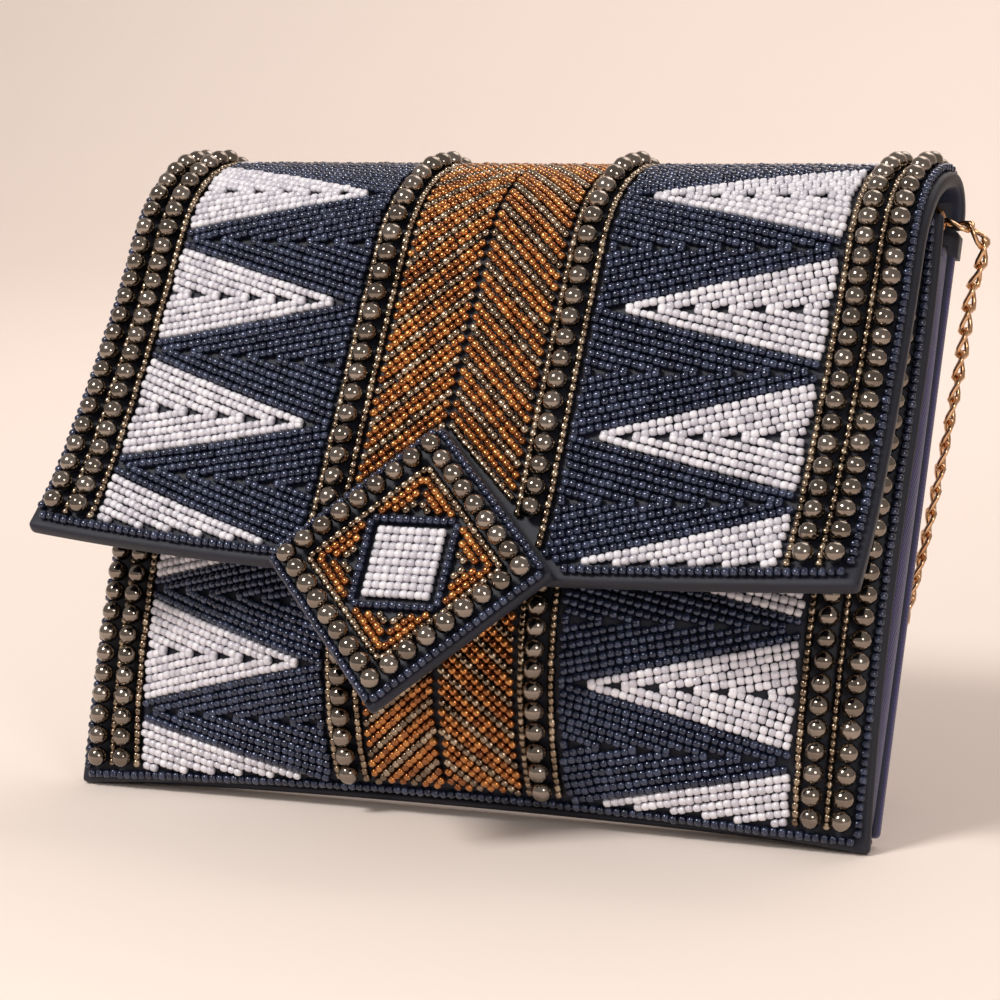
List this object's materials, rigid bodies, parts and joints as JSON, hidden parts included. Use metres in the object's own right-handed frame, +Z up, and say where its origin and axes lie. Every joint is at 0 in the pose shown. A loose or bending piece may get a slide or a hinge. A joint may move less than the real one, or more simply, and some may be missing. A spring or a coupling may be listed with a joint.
{
  "type": "clutch purse",
  "caption": "Envelope clutch with a fold-over flap, bead-embroidered panels, a square beaded medallion over the clasp and a chain strap.",
  "frame": {"origin": "middle of the bottom strip's underside, on the surface the bag stands on", "axes": "+X along the bag's width to the right as seen from the front, +Y to the back, +Z up"},
  "size_m": [0.2394, 0.1341, 0.1638],
  "materials": {
    "cloth": "dark navy satin",
    "back_cloth": "purple-navy woven cloth",
    "board": "stiff felt interlining",
    "lining": "smooth navy lining cloth",
    "metal_beads": "round beads with a mirror-bright gunmetal coating",
    "triangle_beads": "pearl white and lustrous navy glass seed beads",
    "chevron_beads": "copper-lined and bronze glass seed beads",
    "border_beads": "lustrous navy glass seed beads",
    "gold_metal": "rose-gold plating, polished",
    "snap_steel": "nickel-plated steel"
  },
  "bodies": {
    "bag": {"back_cover": "back_cloth", "back_board": "board", "back_lining": "lining", "slip_pocket": "lining", "bottom_strip": "cloth", "gusset_left": "back_cloth", "gusset_right": "back_cloth", "ring_left": "gold_metal", "ring_right": "gold_metal", "ring_tab_left": "back_cloth", "ring_tab_right": "back_cloth", "chain_left": "gold_metal", "chain_right": "gold_metal", "chain_hank": "gold_metal"},
    "front": {"front_cover": "cloth", "front_board": "board", "front_lining": "lining", "front_hem_row": "border_beads", "front_chevrons": "chevron_beads", "front_rib_left": "metal_beads", "front_rib_right": "metal_beads", "front_triangles_left": "triangle_beads", "front_triangles_right": "triangle_beads", "front_edge_beads_left": "metal_beads", "front_edge_beads_right": "metal_beads", "snap_socket": "snap_steel", "socket_washer": "snap_steel"},
    "flap": {"flap_cover": "cloth", "flap_board": "board", "flap_lining": "lining", "flap_chevrons": "chevron_beads", "flap_rib_left": "metal_beads", "flap_rib_right": "metal_beads", "flap_triangles_left": "triangle_beads", "flap_triangles_right": "triangle_beads", "flap_edge_beads_left": "metal_beads", "flap_edge_beads_right": "metal_beads", "flap_hem_row_left": "border_beads", "flap_hem_row_right": "border_beads", "medallion_cover": "cloth", "medallion_board": "board", "medallion_bead_frame": "metal_beads", "medallion_field": "chevron_beads", "snap_stud": "snap_steel", "stud_washer": "snap_steel"}
  },
  "joints": [
    {"name": "flap_hinge", "type": "hinge", "parent": "bag", "child": "flap", "pos_m": [0, 0.0735, 0.142], "axis": [-1, 0, 0], "range_deg": [0, 140]},
    {"name": "mouth_hinge", "type": "hinge", "parent": "bag", "child": "front", "pos_m": [0, -0.005, 0.0025], "axis": [1, 0, 0], "range_deg": [0, 6]}
  ],
  "couplings": [
    {"joint": "mouth_hinge", "follows": "flap_hinge", "ratio": 0.04}
  ]
}
